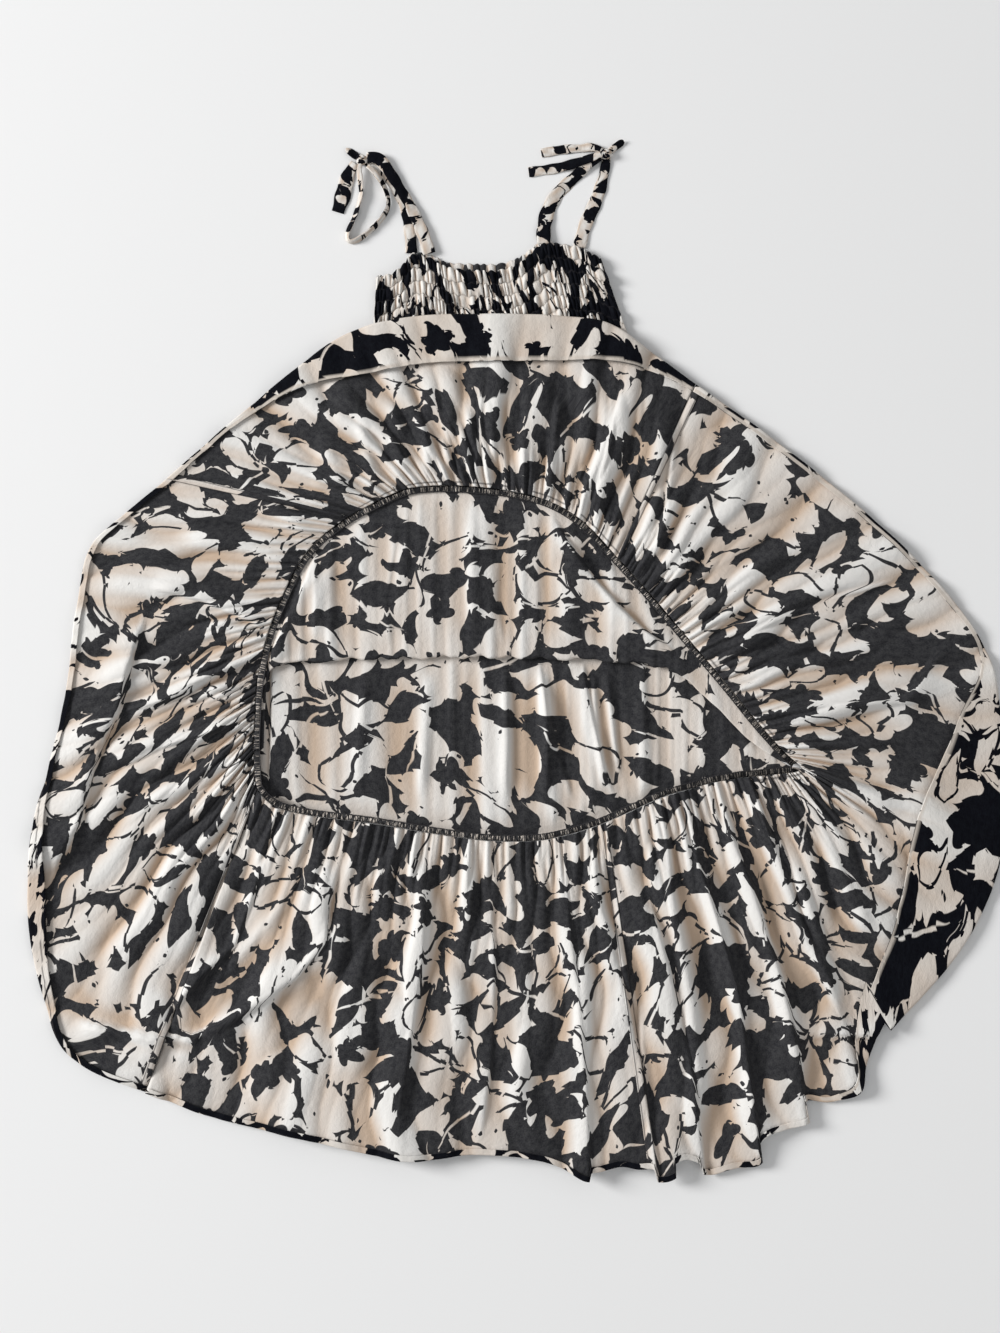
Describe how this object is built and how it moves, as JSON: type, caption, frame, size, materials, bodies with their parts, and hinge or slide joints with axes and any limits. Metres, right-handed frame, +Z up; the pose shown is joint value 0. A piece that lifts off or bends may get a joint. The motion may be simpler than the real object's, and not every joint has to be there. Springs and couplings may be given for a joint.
{
  "type": "midi dress",
  "caption": "Strap-tie midi dress laid flat on its back, with its front skirt turned up over the smocked bodice to show the inside of the gathered skirt.",
  "frame": {"origin": "the middle of the footprint, on the surface that the dress lies on", "axes": "+Z up from the surface, +Y from the hem to the neckline, +X to the picture's right"},
  "size_m": [1.1723, 1.2446, 0.0206],
  "materials": {
    "print_wrong_side": "matt crinkled crepe, the faded wrong side of a two-colour leaf print",
    "print_right_side": "matt crinkled crepe, the right side of a two-colour leaf print",
    "overlock_thread": "black and cream overlock stitching over cut edges"
  },
  "bodies": {
    "root": {"flounce_left": "print_wrong_side", "flounce_top": "print_wrong_side", "flounce_right": "print_wrong_side", "flounce_lower": "print_wrong_side", "upper_skirt_front": "print_wrong_side", "upper_skirt_back": "print_wrong_side", "hidden_layers": "print_wrong_side", "bodice_front": "print_right_side", "bodice_back": "print_wrong_side", "seam_edges_front": "overlock_thread", "seam_edges_back": "overlock_thread", "tie_right_shoulder_front": "print_right_side", "tie_right_shoulder_back": "print_right_side", "bow_right_tail": "print_right_side", "bow_right_loop": "print_right_side", "bow_right_small_loop": "print_right_side", "tie_left_shoulder_front": "print_right_side", "tie_left_shoulder_back": "print_right_side", "bow_left_small_loop": "print_right_side", "bow_left_upper_tail": "print_right_side", "bow_left_lower_tail": "print_right_side", "knot_right_shoulder": "print_right_side", "knot_left_shoulder": "print_right_side"}
  },
  "joints": []
}
